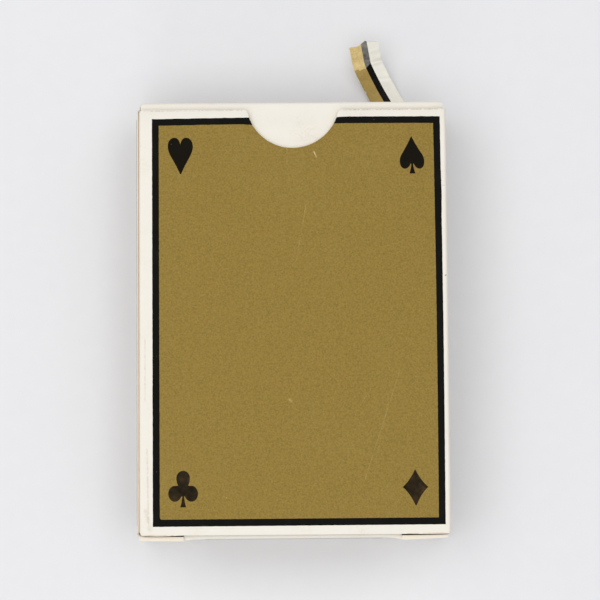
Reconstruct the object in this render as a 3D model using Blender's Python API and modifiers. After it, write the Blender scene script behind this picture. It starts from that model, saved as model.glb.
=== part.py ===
"""Tuck-end paperboard box holding a deck of playing cards.

The box is closed and lies on its back. The frame's origin is the middle of the back panel's outer
face, +X is across the box, +Y points at the lid and +Z is the way the front panel faces.

The box is one folded sheet of board: a tube of four panels closed by a glued seam flap, and at
each end a closure panel with its tuck flap and two dust flaps. Every panel is its own solid, and
the panels that fold are carried by an empty on the line of their crease.
"""

import math

import bmesh
import bpy
from mathutils import Vector

MM = 0.001

# ---------------------------------------------------------------- the deck of cards
CARD_WIDTH = 63.5 * MM
CARD_LENGTH = 88.9 * MM
CARD_THICKNESS = 0.28 * MM
CARD_CORNER = 3.4 * MM
CARDS_IN_SUIT = 13
PACKET_GAP = 0.05 * MM
SUITS = ("heart_cards", "club_cards", "diamond_cards", "spade_cards")
JOKERS = ("joker_card_1", "joker_card_2")

# ---------------------------------------------------------------- the board and its clearances
BOARD = 0.4 * MM
LAYER_GAP = 0.3 * MM      # between boards that lie on each other
CREASE_GAP = 0.2 * MM     # from a crease's axis to the solids on both sides of it
GLUE_LINE = 0.15 * MM     # between the seam flap and the side panel glued to it
SIDE_PLAY = 0.85 * MM     # beside the deck, left and right
END_PLAY = 1.3 * MM       # the deck's travel along the closed box
DECK_PLAY = 0.35 * MM     # between the deck and the tuck flaps
TUCK_PLAY = 0.85 * MM     # between the tuck flaps and the front panel, which they tilt into

# ---------------------------------------------------------------- front panel
LID_PROUD = 1.2 * MM      # the lid stands this far past the front panel's top edge
BASE_PROUD = 0.85 * MM    # and the bottom closure this far past its bottom edge
NOTCH_RADIUS = 10.15 * MM
NOTCH_RISE = 1.85 * MM    # the thumb notch's centre, above the panel's top edge
NOTCH_FILLET = 1.2 * MM
CORNER_WEAR = 0.7 * MM    # rounding of the front panel's outer corners
BELLY = (0.3 * MM, 0.05 * MM)  # how far the cut edge bows out beside each slit, left and right

# ---------------------------------------------------------------- side panels and seam flap
SEAM_WIDTH = 13.0 * MM
SEAM_TAPER = 3.0 * MM
SEAM_END = 0.5 * MM       # the seam flap stops short of the creases by this
RIM_DROP = 0.2 * MM       # the outer side panel's cut edge lies this far below the front face

# ---------------------------------------------------------------- closures
CLOSURE_INSET = 0.6 * MM  # a closure panel is this much narrower than the box at each side
CLOSURE_CORNER = 0.8 * MM
TUCK_LENGTH = 11.5 * MM
TUCK_INSET = 1.4 * MM      # a tuck flap is this much narrower than the box at each side
TUCK_CORNER = 5.0 * MM
SLIT_LENGTH = 9.2 * MM     # each slit of the bottom closure, from its end of the crease
LIP_REACH = 0.9 * MM       # the closure's free edge at a slit, past the crease's axis
# How far the lip springs outwards, at the slit's inner end and at the box's corner.
LIP_BOW = {-1: (0.3 * MM, 0.25 * MM), 1: (0.45 * MM, 0.0 * MM)}

# ---------------------------------------------------------------- dust flaps
DUST_LENGTH = 10.5 * MM
DUST_CORNER = 1.4 * MM
# The tapers clear the closure and its tuck flap, which sweep past as they open.
DUST_BACK = (0.5 * MM, 4.6 * MM)   # cut back on the back's side, at the root and at the tip
DUST_FRONT = (0.75 * MM, 5.2 * MM)  # and on the front's side, below the tuck flap

# ---------------------------------------------------------------- the strip torn off the back
STRIP_WIDTH = 6.6 * MM
STRIP_PLY = 0.16 * MM
STRIP_LENGTH = 24.5 * MM
STRIP_FOOT = 22.8 * MM     # X of the lower end of its diagonal fold
STRIP_LIE = 0.03 * MM      # its underside, above the surface that the box lies on
SCAR_DEPTH = 0.25 * MM
SCAR_MARGIN = 0.4 * MM     # the scar is this much wider than the strip
SCAR_ON_SIDE = 4.5 * MM    # the tear runs this far round onto the side panel
STRIP_HEADING = (30.0, 14.0)   # degrees to the left of +Y, at the root and at the tip
STRIP_CURL = 42.0              # degrees above the surface, at the tip

# ---------------------------------------------------------------- what follows from them
DECK_THICKNESS = (
    (len(SUITS) * CARDS_IN_SUIT + len(JOKERS)) * CARD_THICKNESS
    + (len(SUITS) + len(JOKERS) - 1) * PACKET_GAP
)
WIDTH = 3 * BOARD + GLUE_LINE + 2 * SIDE_PLAY + CARD_WIDTH
LENGTH = 4 * (BOARD + LAYER_GAP) + CARD_LENGTH + END_PLAY
DEPTH = 3 * BOARD + LAYER_GAP + DECK_THICKNESS + DECK_PLAY + TUCK_PLAY

SIDE = WIDTH / 2                      # outer faces of the side panels
END = LENGTH / 2                      # outer faces of the closures
SEAM_X = -SIDE + BOARD + GLUE_LINE    # outer face of the seam flap
CREASE_Y = END - BOARD                # closure creases, on the boards' inner faces
TUCK_Z = DEPTH - 2 * BOARD - TUCK_PLAY  # inner faces of the tuck flaps
DUST_Y = CREASE_Y - LAYER_GAP - BOARD   # inner faces of the dust flaps
SLIT_X = SIDE - CLOSURE_INSET - SLIT_LENGTH  # inner ends of the slits

ARC_STEP = math.radians(15)


# ---------------------------------------------------------------- scene and materials
def clear_scene():
    for obj in list(bpy.data.objects):
        bpy.data.objects.remove(obj, do_unlink=True)


def collection(name):
    made = bpy.data.collections.new(name)
    bpy.context.scene.collection.children.link(made)
    return made


def finish(name, colour, roughness, metallic=0.0):
    material = bpy.data.materials.new(name)
    material.use_nodes = True
    shader = material.node_tree.nodes["Principled BSDF"]
    shader.inputs["Base Color"].default_value = (*colour, 1.0)
    shader.inputs["Roughness"].default_value = roughness
    shader.inputs["Metallic"].default_value = metallic
    material.diffuse_color = (*colour, 1.0)
    return material


# ---------------------------------------------------------------- outlines
def arc(centre, radius, start, end):
    """Points on an arc from angle start to angle end, both included."""
    steps = max(2, math.ceil(abs(end - start) / ARC_STEP))
    angles = (start + (end - start) * i / steps for i in range(steps + 1))
    return [
        (centre[0] + radius * math.cos(a), centre[1] + radius * math.sin(a)) for a in angles
    ]


def rounded(corners):
    """An outline of (x, y, radius) corners, each with a fillet of its radius."""
    points = []
    count = len(corners)
    for i, (x, y, radius) in enumerate(corners):
        here = Vector((x, y))
        if radius <= 0:
            points.append((x, y))
            continue
        before = (Vector(corners[i - 1][:2]) - here).normalized()
        after = (Vector(corners[(i + 1) % count][:2]) - here).normalized()
        half = before.angle(after) / 2
        centre = here + (before + after).normalized() * radius / math.sin(half)
        start = here + before * radius / math.tan(half) - centre
        end = here + after * radius / math.tan(half) - centre
        a0 = math.atan2(start.y, start.x)
        turn = (math.atan2(end.y, end.x) - a0 + math.pi) % (2 * math.pi) - math.pi
        points += arc(centre, radius, a0, a0 + turn)
    return points


def sagged(start, end, depth, steps=8):
    """Points between start and end on a shallow curve that sinks by depth, ends left out."""
    points = []
    for i in range(1, steps):
        t = i / steps
        x = start[0] + (end[0] - start[0]) * t
        y = start[1] + (end[1] - start[1]) * t
        points.append((x, y - depth * math.sin(math.pi * t)))
    return points


# ---------------------------------------------------------------- building blocks
PLANES = {
    "xy": (0.0, 0.0, 0.0),
    "xz": (math.pi / 2, 0.0, 0.0),
    "yz": (math.pi / 2, 0.0, math.pi / 2),
}


def flat_board(name, outline, thickness, plane, middle, material, parent=None):
    """A flat piece: outline in the plane's own two axes, middle its mid-thickness and origin."""
    curve = bpy.data.curves.new(name, "CURVE")
    curve.dimensions = "2D"
    curve.fill_mode = "BOTH"
    curve.extrude = thickness / 2
    spline = curve.splines.new("POLY")
    spline.points.add(len(outline) - 1)
    for point, (x, y) in zip(spline.points, outline):
        point.co = (x, y, 0.0, 1.0)
    spline.use_cyclic_u = True
    curve.materials.append(material)
    obj = bpy.data.objects.new(name, curve)
    obj.rotation_euler = PLANES[plane]
    place(obj, middle, parent)
    return obj


def place(obj, location, parent=None):
    """Puts obj at a world location, carried by parent, in the box's collection."""
    BOX.objects.link(obj)
    obj.location = Vector(location)
    if parent is not None:
        obj.parent = parent
        obj.location = Vector(location) - parent.location


def crease(name, location):
    """An empty on a crease's axis, which carries what folds there."""
    empty = bpy.data.objects.new(name, None)
    empty.location = location
    empty.empty_display_size = 5 * MM
    BOX.objects.link(empty)
    return empty


def mesh_object(name, build, material):
    """A mesh whose faces build(bm) makes."""
    mesh = bpy.data.meshes.new(name)
    bm = bmesh.new()
    build(bm)
    bmesh.ops.recalc_face_normals(bm, faces=bm.faces)
    bm.to_mesh(mesh)
    bm.free()
    if material:
        mesh.materials.append(material)
    return bpy.data.objects.new(name, mesh)


def block(name, low, high, material=None):
    """A box from corner low to corner high, with its origin at its middle."""
    low, high = Vector(low), Vector(high)

    def build(bm):
        bmesh.ops.create_cube(bm, size=1.0)
        bmesh.ops.scale(bm, vec=high - low, verts=bm.verts)

    obj = mesh_object(name, build, material)
    return obj, (low + high) / 2


def cut_by(obj, cutter):
    """Cuts cutter out of obj. The cutter stays as a hidden helper."""
    cutter.hide_render = True
    cutter.display_type = "WIRE"
    modifier = obj.modifiers.new("cut_" + cutter.name, "BOOLEAN")
    modifier.object = cutter
    modifier.operation = "DIFFERENCE"


# ---------------------------------------------------------------- the tube of four panels
def front_panel():
    top = END - LID_PROUD
    bottom = -END + BASE_PROUD
    left = SEAM_X
    right = SIDE
    middle = (left + right) / 2
    drop = NOTCH_RISE + NOTCH_FILLET
    reach = math.sqrt((NOTCH_RADIUS + NOTCH_FILLET) ** 2 - drop ** 2)
    lean = math.atan2(drop, reach)
    # The fillets' centres lie one fillet radius below the top edge, outside the notch's circle.
    notch = arc((middle + reach, top - NOTCH_FILLET), NOTCH_FILLET, math.pi / 2, math.pi - lean)
    notch += arc((middle, top + NOTCH_RISE), NOTCH_RADIUS, -lean, lean - math.pi)[1:-1]
    notch += arc((middle - reach, top - NOTCH_FILLET), NOTCH_FILLET, lean, math.pi / 2)
    corners = rounded(
        [
            (left, top, CORNER_WEAR),
            (left, bottom, CORNER_WEAR),
            (right, bottom, CORNER_WEAR),
            (right, top, CORNER_WEAR),
        ]
    )
    quarter = len(corners) // 4
    left_corners, right_corners = corners[: 2 * quarter], corners[2 * quarter:]
    outline = list(left_corners)
    outline += sagged(left_corners[-1], (-SLIT_X, bottom), BELLY[0])
    outline += [(-SLIT_X, bottom), (SLIT_X, bottom)]
    outline += sagged((SLIT_X, bottom), right_corners[0], BELLY[1])
    outline += right_corners + notch
    flat_board("front_panel", outline, BOARD, "xy", (0, 0, DEPTH - BOARD / 2), CREAM)


def back_panel():
    edge = CREASE_Y - CREASE_GAP
    obj, middle = block("back_panel", (-SIDE, -edge, 0), (SIDE, edge, BOARD), CREAM)
    place(obj, middle)
    # The scar runs from the folded strip to the panel's corner and off both its edges.
    foot = STRIP_FOOT - 0.8 * STRIP_WIDTH
    low = edge - STRIP_WIDTH - SCAR_MARGIN
    cutter, middle = block(
        "back_scar", (foot, low, -SCAR_DEPTH), (SIDE + SCAR_DEPTH, END + BOARD, SCAR_DEPTH)
    )
    HELPERS.objects.link(cutter)
    cutter.location = middle
    cut_by(obj, cutter)


def side_panels():
    reach = DUST_Y - CREASE_GAP
    low = BOARD + CREASE_GAP
    left_outline = rounded(
        [
            (-reach, low, 0),
            (reach, low, 0),
            (reach, DEPTH - RIM_DROP, CORNER_WEAR),
            (-reach, DEPTH - RIM_DROP, CORNER_WEAR),
        ]
    )
    flat_board("left_side_panel", left_outline, BOARD, "yz", (-SIDE + BOARD / 2, 0, 0), CREAM)
    high = DEPTH - BOARD - CREASE_GAP
    obj, middle = block("right_side_panel", (SIDE - BOARD, -reach, low), (SIDE, reach, high), CREAM)
    place(obj, middle)
    cutter, middle = block(
        "side_scar",
        (SIDE - SCAR_DEPTH, CREASE_Y - STRIP_WIDTH, 0),
        (SIDE + SCAR_DEPTH, END, SCAR_ON_SIDE),
    )
    HELPERS.objects.link(cutter)
    cutter.location = middle
    cut_by(obj, cutter)


def glue_seam_flap():
    reach = DUST_Y - CREASE_GAP - SEAM_END
    high = DEPTH - BOARD - CREASE_GAP
    low = high - SEAM_WIDTH
    outline = [
        (-reach, high),
        (-reach + SEAM_TAPER, low),
        (reach - SEAM_TAPER, low),
        (reach, high),
    ]
    flat_board("glue_seam_flap", outline, BOARD, "yz", (SEAM_X + BOARD / 2, 0, 0), KRAFT)


# ---------------------------------------------------------------- the two closures
def lid():
    hinge = crease("lid_crease", (0, CREASE_Y, BOARD))
    half = SIDE - CLOSURE_INSET
    low, high = BOARD + CREASE_GAP, TUCK_Z - CREASE_GAP
    outline = rounded(
        [
            (-half, low, 0),
            (half, low, 0),
            (half, high, CLOSURE_CORNER),
            (-half, high, CLOSURE_CORNER),
        ]
    )
    flat_board("lid_panel", outline, BOARD, "xz", (0, END - BOARD / 2, 0), CREAM, hinge)
    tuck_crease = crease("lid_tuck_crease", (0, CREASE_Y, TUCK_Z))
    tuck_flap("lid_tuck_flap", 1, 0.0, tuck_crease)


def tuck_flap(name, way, notch, parent):
    """A tuck flap that reaches into the box from the closure at way * Y.

    notch is how far its edge is cut back beside the middle of its crease, for the slits.
    """
    half = SIDE - TUCK_INSET
    root = CREASE_Y - CREASE_GAP
    tip = CREASE_Y - TUCK_LENGTH
    corners = [(-half, tip, TUCK_CORNER), (half, tip, TUCK_CORNER)]
    if notch:
        corners += [
            (half, root - notch, 0),
            (SLIT_X, root - notch, 0),
            (SLIT_X, root, 0),
            (-SLIT_X, root, 0),
            (-SLIT_X, root - notch, 0),
            (-half, root - notch, 0),
        ]
    else:
        corners += [(half, root, CLOSURE_CORNER), (-half, root, CLOSURE_CORNER)]
    outline = [(x, way * y) for x, y in rounded(corners)]
    flat_board(name, outline, BOARD, "xy", (0, 0, TUCK_Z + BOARD / 2), CREAM, parent)


def base():
    hinge = crease("bottom_crease", (0, -CREASE_Y, BOARD))
    half = SIDE - CLOSURE_INSET
    low, high = BOARD + CREASE_GAP, TUCK_Z - CREASE_GAP
    lip = TUCK_Z + LIP_REACH
    columns = [-half, -(half + SLIT_X) / 2, -SLIT_X, -SLIT_X * 0.75, 0.0]
    columns += [-x for x in reversed(columns[:-1])]
    rows = [low, low + (high - low) * 0.4, low + (high - low) * 0.75, high, lip]

    def bow(x, z):
        inner, corner = LIP_BOW[-1 if x < 0 else 1]
        across = (abs(x) - SLIT_X) / (half - SLIT_X)
        amount = inner + (corner - inner) * max(0.0, across)
        fade = min(1.0, max(0.0, (abs(x) / SLIT_X - 0.75) / 0.25))
        return amount * fade * ((z - low) / (lip - low)) ** 2

    def build(bm):
        bmesh.ops.create_grid(
            bm, x_segments=len(columns) - 1, y_segments=len(rows) - 1, size=0.5
        )
        for vert in bm.verts:
            x = columns[round((vert.co.x + 0.5) * (len(columns) - 1))]
            z = rows[round((vert.co.y + 0.5) * (len(rows) - 1))]
            vert.co = Vector((x, -END - bow(x, z), z))
        tongue = [
            face
            for face in bm.faces
            if face.calc_center_median().z > high and abs(face.calc_center_median().x) < SLIT_X
        ]
        bmesh.ops.delete(bm, geom=tongue, context="FACES")

    obj = mesh_object("bottom_panel", build, CREAM)
    place(obj, (0, 0, 0), hinge)
    solid = obj.modifiers.new("board", "SOLIDIFY")
    solid.thickness = BOARD
    obj.data.update()
    # The grid is the outer face, so the board grows inwards, whichever way its faces point.
    solid.offset = 1.0 if obj.data.polygons[0].normal.y > 0 else -1.0
    tuck_crease = crease("bottom_tuck_crease", (0, -CREASE_Y, TUCK_Z))
    tuck_flap("bottom_tuck_flap", -1, CREASE_Y - DUST_Y, tuck_crease)


# ---------------------------------------------------------------- dust flaps
def dust_flap(name, side, end):
    """A dust flap folded in from the side panel at side * X, at the closure at end * Y."""
    axis_x = side * (SIDE - BOARD)
    hinge = crease(name + "_crease", (axis_x, end * DUST_Y, DEPTH / 2))
    root, tip = axis_x - side * CREASE_GAP, axis_x - side * DUST_LENGTH
    outline = rounded(
        [
            (root, BOARD + DUST_BACK[0], 0),
            (tip, BOARD + DUST_BACK[1], DUST_CORNER),
            (tip, TUCK_Z - DUST_FRONT[1], DUST_CORNER),
            (root, TUCK_Z - DUST_FRONT[0], 0),
        ]
    )
    flat_board(name, outline, BOARD, "xz", (0, end * (DUST_Y + BOARD / 2), 0), CREAM, hinge)


def dust_flaps():
    dust_flap("top_left_dust_flap", -1, 1)
    dust_flap("top_right_dust_flap", 1, 1)
    dust_flap("bottom_left_dust_flap", -1, -1)
    dust_flap("bottom_right_dust_flap", 1, -1)


# ---------------------------------------------------------------- the torn strip
def strip_line():
    """The strip's middle line and its heading, from the diagonal fold to the tip."""
    lean = math.radians(STRIP_HEADING[0])
    # The fold's lower end is the strip's left edge, half a width from the middle line.
    x = STRIP_FOOT + STRIP_WIDTH / 2 * math.cos(lean)
    y = CREASE_Y - CREASE_GAP - STRIP_WIDTH + STRIP_WIDTH / 2 * math.sin(lean)
    z = STRIP_LIE
    steps = 16
    ds = STRIP_LENGTH / steps
    line = []
    for i in range(steps + 1):
        t = i / steps
        heading = math.radians(STRIP_HEADING[0] + (STRIP_HEADING[1] - STRIP_HEADING[0]) * t)
        line.append((Vector((x, y, z)), heading))
        past_edge = max(0.0, (y - END) / (0.5 * STRIP_LENGTH))
        rise = math.radians(STRIP_CURL * min(1.0, past_edge))
        x -= ds * math.sin(heading) * math.cos(rise)
        y += ds * math.cos(heading) * math.cos(rise)
        z += ds * math.sin(rise)
    return line


def torn_strip():
    line = strip_line()
    across = 4

    def build(bm):
        bmesh.ops.create_grid(bm, x_segments=across, y_segments=len(line) - 1, size=0.5)
        for vert in bm.verts:
            middle, heading = line[round((vert.co.y + 0.5) * (len(line) - 1))]
            side = Vector((math.cos(heading), math.sin(heading), 0.0))
            vert.co = middle + side * vert.co.x * STRIP_WIDTH

    obj = mesh_object("torn_strip", build, GOLD)
    place(obj, (0, 0, 0))
    solid = obj.modifiers.new("ply", "SOLIDIFY")
    solid.thickness = STRIP_PLY
    solid.offset = 1.0 if obj.data.polygons[0].normal.z > 0 else -1.0


# ---------------------------------------------------------------- the deck
def deck():
    deck_x = SEAM_X + BOARD + SIDE_PLAY + CARD_WIDTH / 2
    half_x, half_y = CARD_WIDTH / 2, CARD_LENGTH / 2
    outline = rounded([(x, y, CARD_CORNER) for x, y in (
        (-half_x, -half_y), (half_x, -half_y), (half_x, half_y), (-half_x, half_y))])
    stack = [(name, CARDS_IN_SUIT) for name in SUITS] + [(name, 1) for name in JOKERS]
    z = BOARD + LAYER_GAP
    for name, cards in stack:
        thickness = cards * CARD_THICKNESS
        middle = (deck_x, 0, z + thickness / 2)
        flat_board(name, outline, thickness, "xy", middle, CARD)
        z += thickness + PACKET_GAP


clear_scene()
BOX = collection("card_deck_box")
HELPERS = collection("cutters")
CREAM = finish("cream_board", (0.84, 0.80, 0.70), 0.45)
KRAFT = finish("inside_board", (0.72, 0.66, 0.54), 0.8)
GOLD = finish("gold_ink", (0.42, 0.31, 0.09), 0.35, 0.6)
CARD = finish("card_stock", (0.86, 0.84, 0.78), 0.4)

front_panel()
back_panel()
side_panels()
glue_seam_flap()
lid()
base()
dust_flaps()
torn_strip()
deck()
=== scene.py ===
import math
import random

import bmesh
import bpy
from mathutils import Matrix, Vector, noise


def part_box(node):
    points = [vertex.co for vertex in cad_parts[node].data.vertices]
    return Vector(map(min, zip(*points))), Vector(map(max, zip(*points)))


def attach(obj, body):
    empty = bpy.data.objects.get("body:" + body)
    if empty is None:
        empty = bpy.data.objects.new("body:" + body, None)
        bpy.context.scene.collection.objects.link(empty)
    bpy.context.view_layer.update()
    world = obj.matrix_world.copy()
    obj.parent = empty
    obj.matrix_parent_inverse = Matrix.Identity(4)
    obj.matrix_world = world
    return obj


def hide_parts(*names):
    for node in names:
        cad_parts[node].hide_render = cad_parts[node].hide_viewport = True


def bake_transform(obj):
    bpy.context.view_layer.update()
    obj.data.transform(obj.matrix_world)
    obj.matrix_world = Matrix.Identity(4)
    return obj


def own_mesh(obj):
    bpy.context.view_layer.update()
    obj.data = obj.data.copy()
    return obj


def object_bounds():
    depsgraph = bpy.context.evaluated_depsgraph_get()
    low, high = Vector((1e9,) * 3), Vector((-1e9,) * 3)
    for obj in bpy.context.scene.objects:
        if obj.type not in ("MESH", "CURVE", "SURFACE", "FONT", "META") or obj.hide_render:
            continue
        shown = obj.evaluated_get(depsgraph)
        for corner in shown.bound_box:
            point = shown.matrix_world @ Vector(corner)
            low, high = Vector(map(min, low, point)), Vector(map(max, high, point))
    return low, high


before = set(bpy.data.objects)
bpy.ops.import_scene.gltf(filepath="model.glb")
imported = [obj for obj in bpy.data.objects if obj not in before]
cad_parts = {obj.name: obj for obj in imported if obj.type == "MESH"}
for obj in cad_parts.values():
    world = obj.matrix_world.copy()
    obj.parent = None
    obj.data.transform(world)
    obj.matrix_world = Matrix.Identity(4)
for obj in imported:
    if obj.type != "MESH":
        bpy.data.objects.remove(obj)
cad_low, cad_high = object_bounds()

# The fine model of a printed card deck box: a tube of folded board, two tuck closures, the
# printed inks, the 54 cards inside and the strip of the back's outer ply that hangs torn.
# Lengths are in millimetres in the box's own frame. MM turns them into metres.
MM = 0.001
X, Y, Z = Vector((1, 0, 0)), Vector((0, 1, 0)), Vector((0, 0, 1))


# ---- sizes, from the frame
def extent(node):
    """A CAD node's lowest and highest corner at rest, in millimetres."""
    low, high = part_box(node)
    return Vector(low) / MM, Vector(high) / MM


back_low, back_high = extent("back_panel")
front_low, front_high = extent("front_panel")
lid_high = extent("lid_panel")[1]
tuck_low, tuck_high = extent("lid_tuck_flap")
base_high = extent("bottom_panel")[1]
side_high = extent("left_side_panel")[1]
seam_low, seam_high = extent("glue_seam_flap")
dust_low, dust_high = extent("top_right_dust_flap")

BOARD = 0.4  # thickness of the carton board
BEND = 0.6  # outer radius of every crease
FLAT = 0.05  # short flat part between a bend and the end of its piece
INK = 0.012  # thickness of a printed ink
SKIN = 0.02  # the coating lies this far inside the box's outer size, which leaves the inks room
SIDE = back_high.x - SKIN
TOP = front_high.z - SKIN
UNDER = back_low.z + SKIN
END = lid_high.y
SEAM_X = front_low.x
SEAM_END = seam_high.y
SIDE_END = side_high.y
BACK_END = back_high.y
FRONT_TOP = front_high.y
FRONT_BOTTOM = -END + 0.85  # the front stops short of the bottom's crease
BELLY = {-1: 0.21, 1: 0.08}  # how far the front's cut edge bows out beside each slit
LID_HALF = lid_high.x
TUCK_HALF = tuck_high.x
TUCK_TIP = tuck_low.y
PANEL_TOP = tuck_high.z - BEND  # where the closure panels turn into their tuck flaps
LIP_TOP = base_high.z
SLIT_X = 23.475  # inner ends of the bottom closure's two slits
SLIT_LEFT, SLIT_RIGHT = -23.3, 22.9  # where the bottom tuck flap is cut free of its lips
LIP_BOW = {-1: (0.43, 0.34), 1: (0.43, 0.0)}  # how far the free lips spring out
LIP_CRUSH = 0.25  # and how much thicker their crushed rims are
BASE_SWELL = {-1: 0.04, 1: -0.16}  # the bottom's crease leans out at one end and in at the other
LID_SWELL = 0.62  # the lid springs out this far along its crease
SWELL_FROM = 12.8  # the closures are flat up to this height, and spring out above it
LID_TRIM = 0.12  # the lid's left end is cut back this far at its crease
TUCK_SPRING = 0.45  # the lid's tuck flap springs up this far under the front panel
TUCK_CORNER = 5.0  # radius of the tuck flaps' corners
SHOULDER_TRIM = 0.32  # the lid's left end is cut back this far past its crease

NOTCH_X = (SEAM_X + back_high.x) / 2
NOTCH_RADIUS = 10.15
NOTCH_RISE = 1.85
NOTCH_FILLET = 1.2
NOTCH_REACH = math.sqrt((NOTCH_RADIUS + NOTCH_FILLET) ** 2 - (NOTCH_RISE + NOTCH_FILLET) ** 2)
NOTCH_LEAN = math.atan2(NOTCH_RISE + NOTCH_FILLET, NOTCH_REACH)
NOTCH_SQUEEZE = {-1: 1 / 1.03, 1: 1.0}  # its left half was cut a little narrower

SEAM_PRESS_FROM = 15.4  # above this height the left side is pressed onto the seam,
OUTER_PRESS, INNER_PRESS = 0.28, 0.08  # and its faces go in by this

SCAR_X, SCAR_Y = 17.5, 38.95  # the torn patch on the back runs from here to the corner
SCAR_SIDE_Y, SCAR_SIDE_Z = 39.5, 4.4  # and from here round onto the right side
SCAR_DEPTH = 0.17


# ---- shader building
def shade(red, green, blue):
    """A linear colour from everyday 0 to 255 values."""
    channels = []
    for value in (red, green, blue):
        c = value / 255
        channels.append(c / 12.92 if c <= 0.04045 else ((c + 0.055) / 1.055) ** 2.4)
    return (*channels, 1.0)


def add(tree, kind, links, **settings):
    """A node in tree with its settings, and its sockets linked or given values."""
    made = tree.nodes.new(kind)
    for key, value in settings.items():
        setattr(made, key, value)
    for label, value in links.items():
        if isinstance(value, bpy.types.NodeSocket):
            tree.links.new(value, made.inputs[label])
        else:
            made.inputs[label].default_value = value
    return made


def math_node(tree, operation, *values, clamp=False):
    links = dict(enumerate(values))
    return add(tree, "ShaderNodeMath", links, operation=operation, use_clamp=clamp).outputs[0]


def times(tree, first, second):
    return math_node(tree, "MULTIPLY", first, second)


def vector_node(tree, operation, links, output):
    return add(tree, "ShaderNodeVectorMath", links, operation=operation).outputs[output]


def blend_colour(tree, factor, first, second):
    links = {0: factor, 6: first, 7: second}
    return add(tree, "ShaderNodeMix", links, data_type="RGBA").outputs[2]


def fit_range(tree, value, low, high, to_low=0.0, to_high=1.0):
    links = {0: value, 1: low, 2: high, 3: to_low, 4: to_high}
    return add(tree, "ShaderNodeMapRange", links).outputs[0]


def noise_at(tree, place, scale, detail=3.0, roughness=0.55):
    links = {"Vector": place, "Scale": scale, "Detail": detail, "Roughness": roughness}
    return add(tree, "ShaderNodeTexNoise", links).outputs["Fac"]


def own_place(tree):
    return tree.nodes.new("ShaderNodeTexCoord").outputs["Object"]


def start_group(name, inputs, outputs):
    """A shader node group with (label, socket type, default) inputs and (label, type) outputs."""
    tree = bpy.data.node_groups.new(name, "ShaderNodeTree")
    for label, kind, value in inputs:
        socket = tree.interface.new_socket(label, in_out="INPUT", socket_type=kind)
        socket.default_value = value
    for label, kind in outputs:
        tree.interface.new_socket(label, in_out="OUTPUT", socket_type=kind)
    return tree, tree.nodes.new("NodeGroupInput"), tree.nodes.new("NodeGroupOutput")


FLOAT, VECTOR = "NodeSocketFloat", "NodeSocketVector"


def fibres_group():
    """Board_Fibres: the cloudy tone and the fine tooth of paper. Grain is lumps per metre."""
    ports = [("Tone", FLOAT), ("Tooth", FLOAT)]
    tree, given, out = start_group("Board_Fibres", [("Grain", FLOAT, 900.0)], ports)
    place = own_place(tree)
    grain = given.outputs["Grain"]
    cloud = noise_at(tree, place, times(tree, grain, 0.12), 4.0)
    fleck = noise_at(tree, place, grain, 5.0, 0.65)
    tone = math_node(tree, "ADD", times(tree, cloud, 0.6), fleck)
    tooth = noise_at(tree, place, times(tree, grain, 4.5), 3.0, 0.7)
    tree.links.new(fit_range(tree, tone, 0.55, 1.1), out.inputs["Tone"])
    tree.links.new(tooth, out.inputs["Tooth"])
    return tree


def dirt_group():
    """Handling_Dirt: blotches of grime that break up into specks. Size is blotches per metre."""
    given = [("Size", FLOAT, 90.0), ("Amount", FLOAT, 0.5)]
    tree, given, out = start_group("Handling_Dirt", given, [("Mask", FLOAT)])
    place = own_place(tree)
    blotch = noise_at(tree, place, given.outputs["Size"], 4.0)
    crumbs = noise_at(tree, place, times(tree, given.outputs["Size"], 18.0))
    wide = fit_range(tree, blotch, 0.52, 0.72)
    fine = fit_range(tree, crumbs, 0.4, 0.7)
    mask = times(tree, wide, fine)
    mask = math_node(tree, "MULTIPLY", mask, given.outputs["Amount"], clamp=True)
    tree.links.new(mask, out.inputs["Mask"])
    return tree


def specks_group():
    """Specks: scattered small dots. Cells is dots per metre, Share how many of them show."""
    given = [("Cells", FLOAT, 300.0), ("Reach", FLOAT, 0.1), ("Share", FLOAT, 0.1)]
    tree, given, out = start_group("Specks", given, [("Mask", FLOAT)])
    links = {"Vector": own_place(tree), "Scale": given.outputs["Cells"]}
    cells = add(tree, "ShaderNodeTexVoronoi", links, feature="F1")
    pick = add(tree, "ShaderNodeSeparateColor", {0: cells.outputs["Color"]}).outputs[0]
    chosen = math_node(tree, "LESS_THAN", pick, given.outputs["Share"])
    near = fit_range(tree, cells.outputs["Distance"], given.outputs["Reach"], 0.0)
    tree.links.new(times(tree, chosen, near), out.inputs["Mask"])
    return tree


def worn_line_group():
    """Worn_Line: a scratch or rubbed line from Start to End, in metres on the object."""
    given = [("Start", VECTOR, (0, 0, 0)), ("End", VECTOR, (0, 0, 0)),
             ("Width", FLOAT, 0.0001), ("Breaks", FLOAT, 900.0)]
    tree, given, out = start_group("Worn_Line", given, [("Mask", FLOAT)])
    start, end = given.outputs["Start"], given.outputs["End"]
    place = own_place(tree)
    gone = vector_node(tree, "SUBTRACT", {0: place, 1: start}, 0)
    whole = vector_node(tree, "SUBTRACT", {0: end, 1: start}, 0)
    done = vector_node(tree, "DOT_PRODUCT", {0: gone, 1: whole}, "Value")
    total = vector_node(tree, "DOT_PRODUCT", {0: whole, 1: whole}, "Value")
    share = math_node(tree, "DIVIDE", done, total, clamp=True)
    nearest = vector_node(tree, "SCALE", {0: whole, 3: share}, 0)
    off = vector_node(tree, "SUBTRACT", {0: gone, 1: nearest}, 0)
    distance = vector_node(tree, "LENGTH", {0: off}, "Value")
    near = fit_range(tree, distance, given.outputs["Width"], 0.0)
    broken = fit_range(tree, noise_at(tree, place, given.outputs["Breaks"]), 0.35, 0.6)
    tree.links.new(times(tree, near, broken), out.inputs["Mask"])
    return tree


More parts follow.
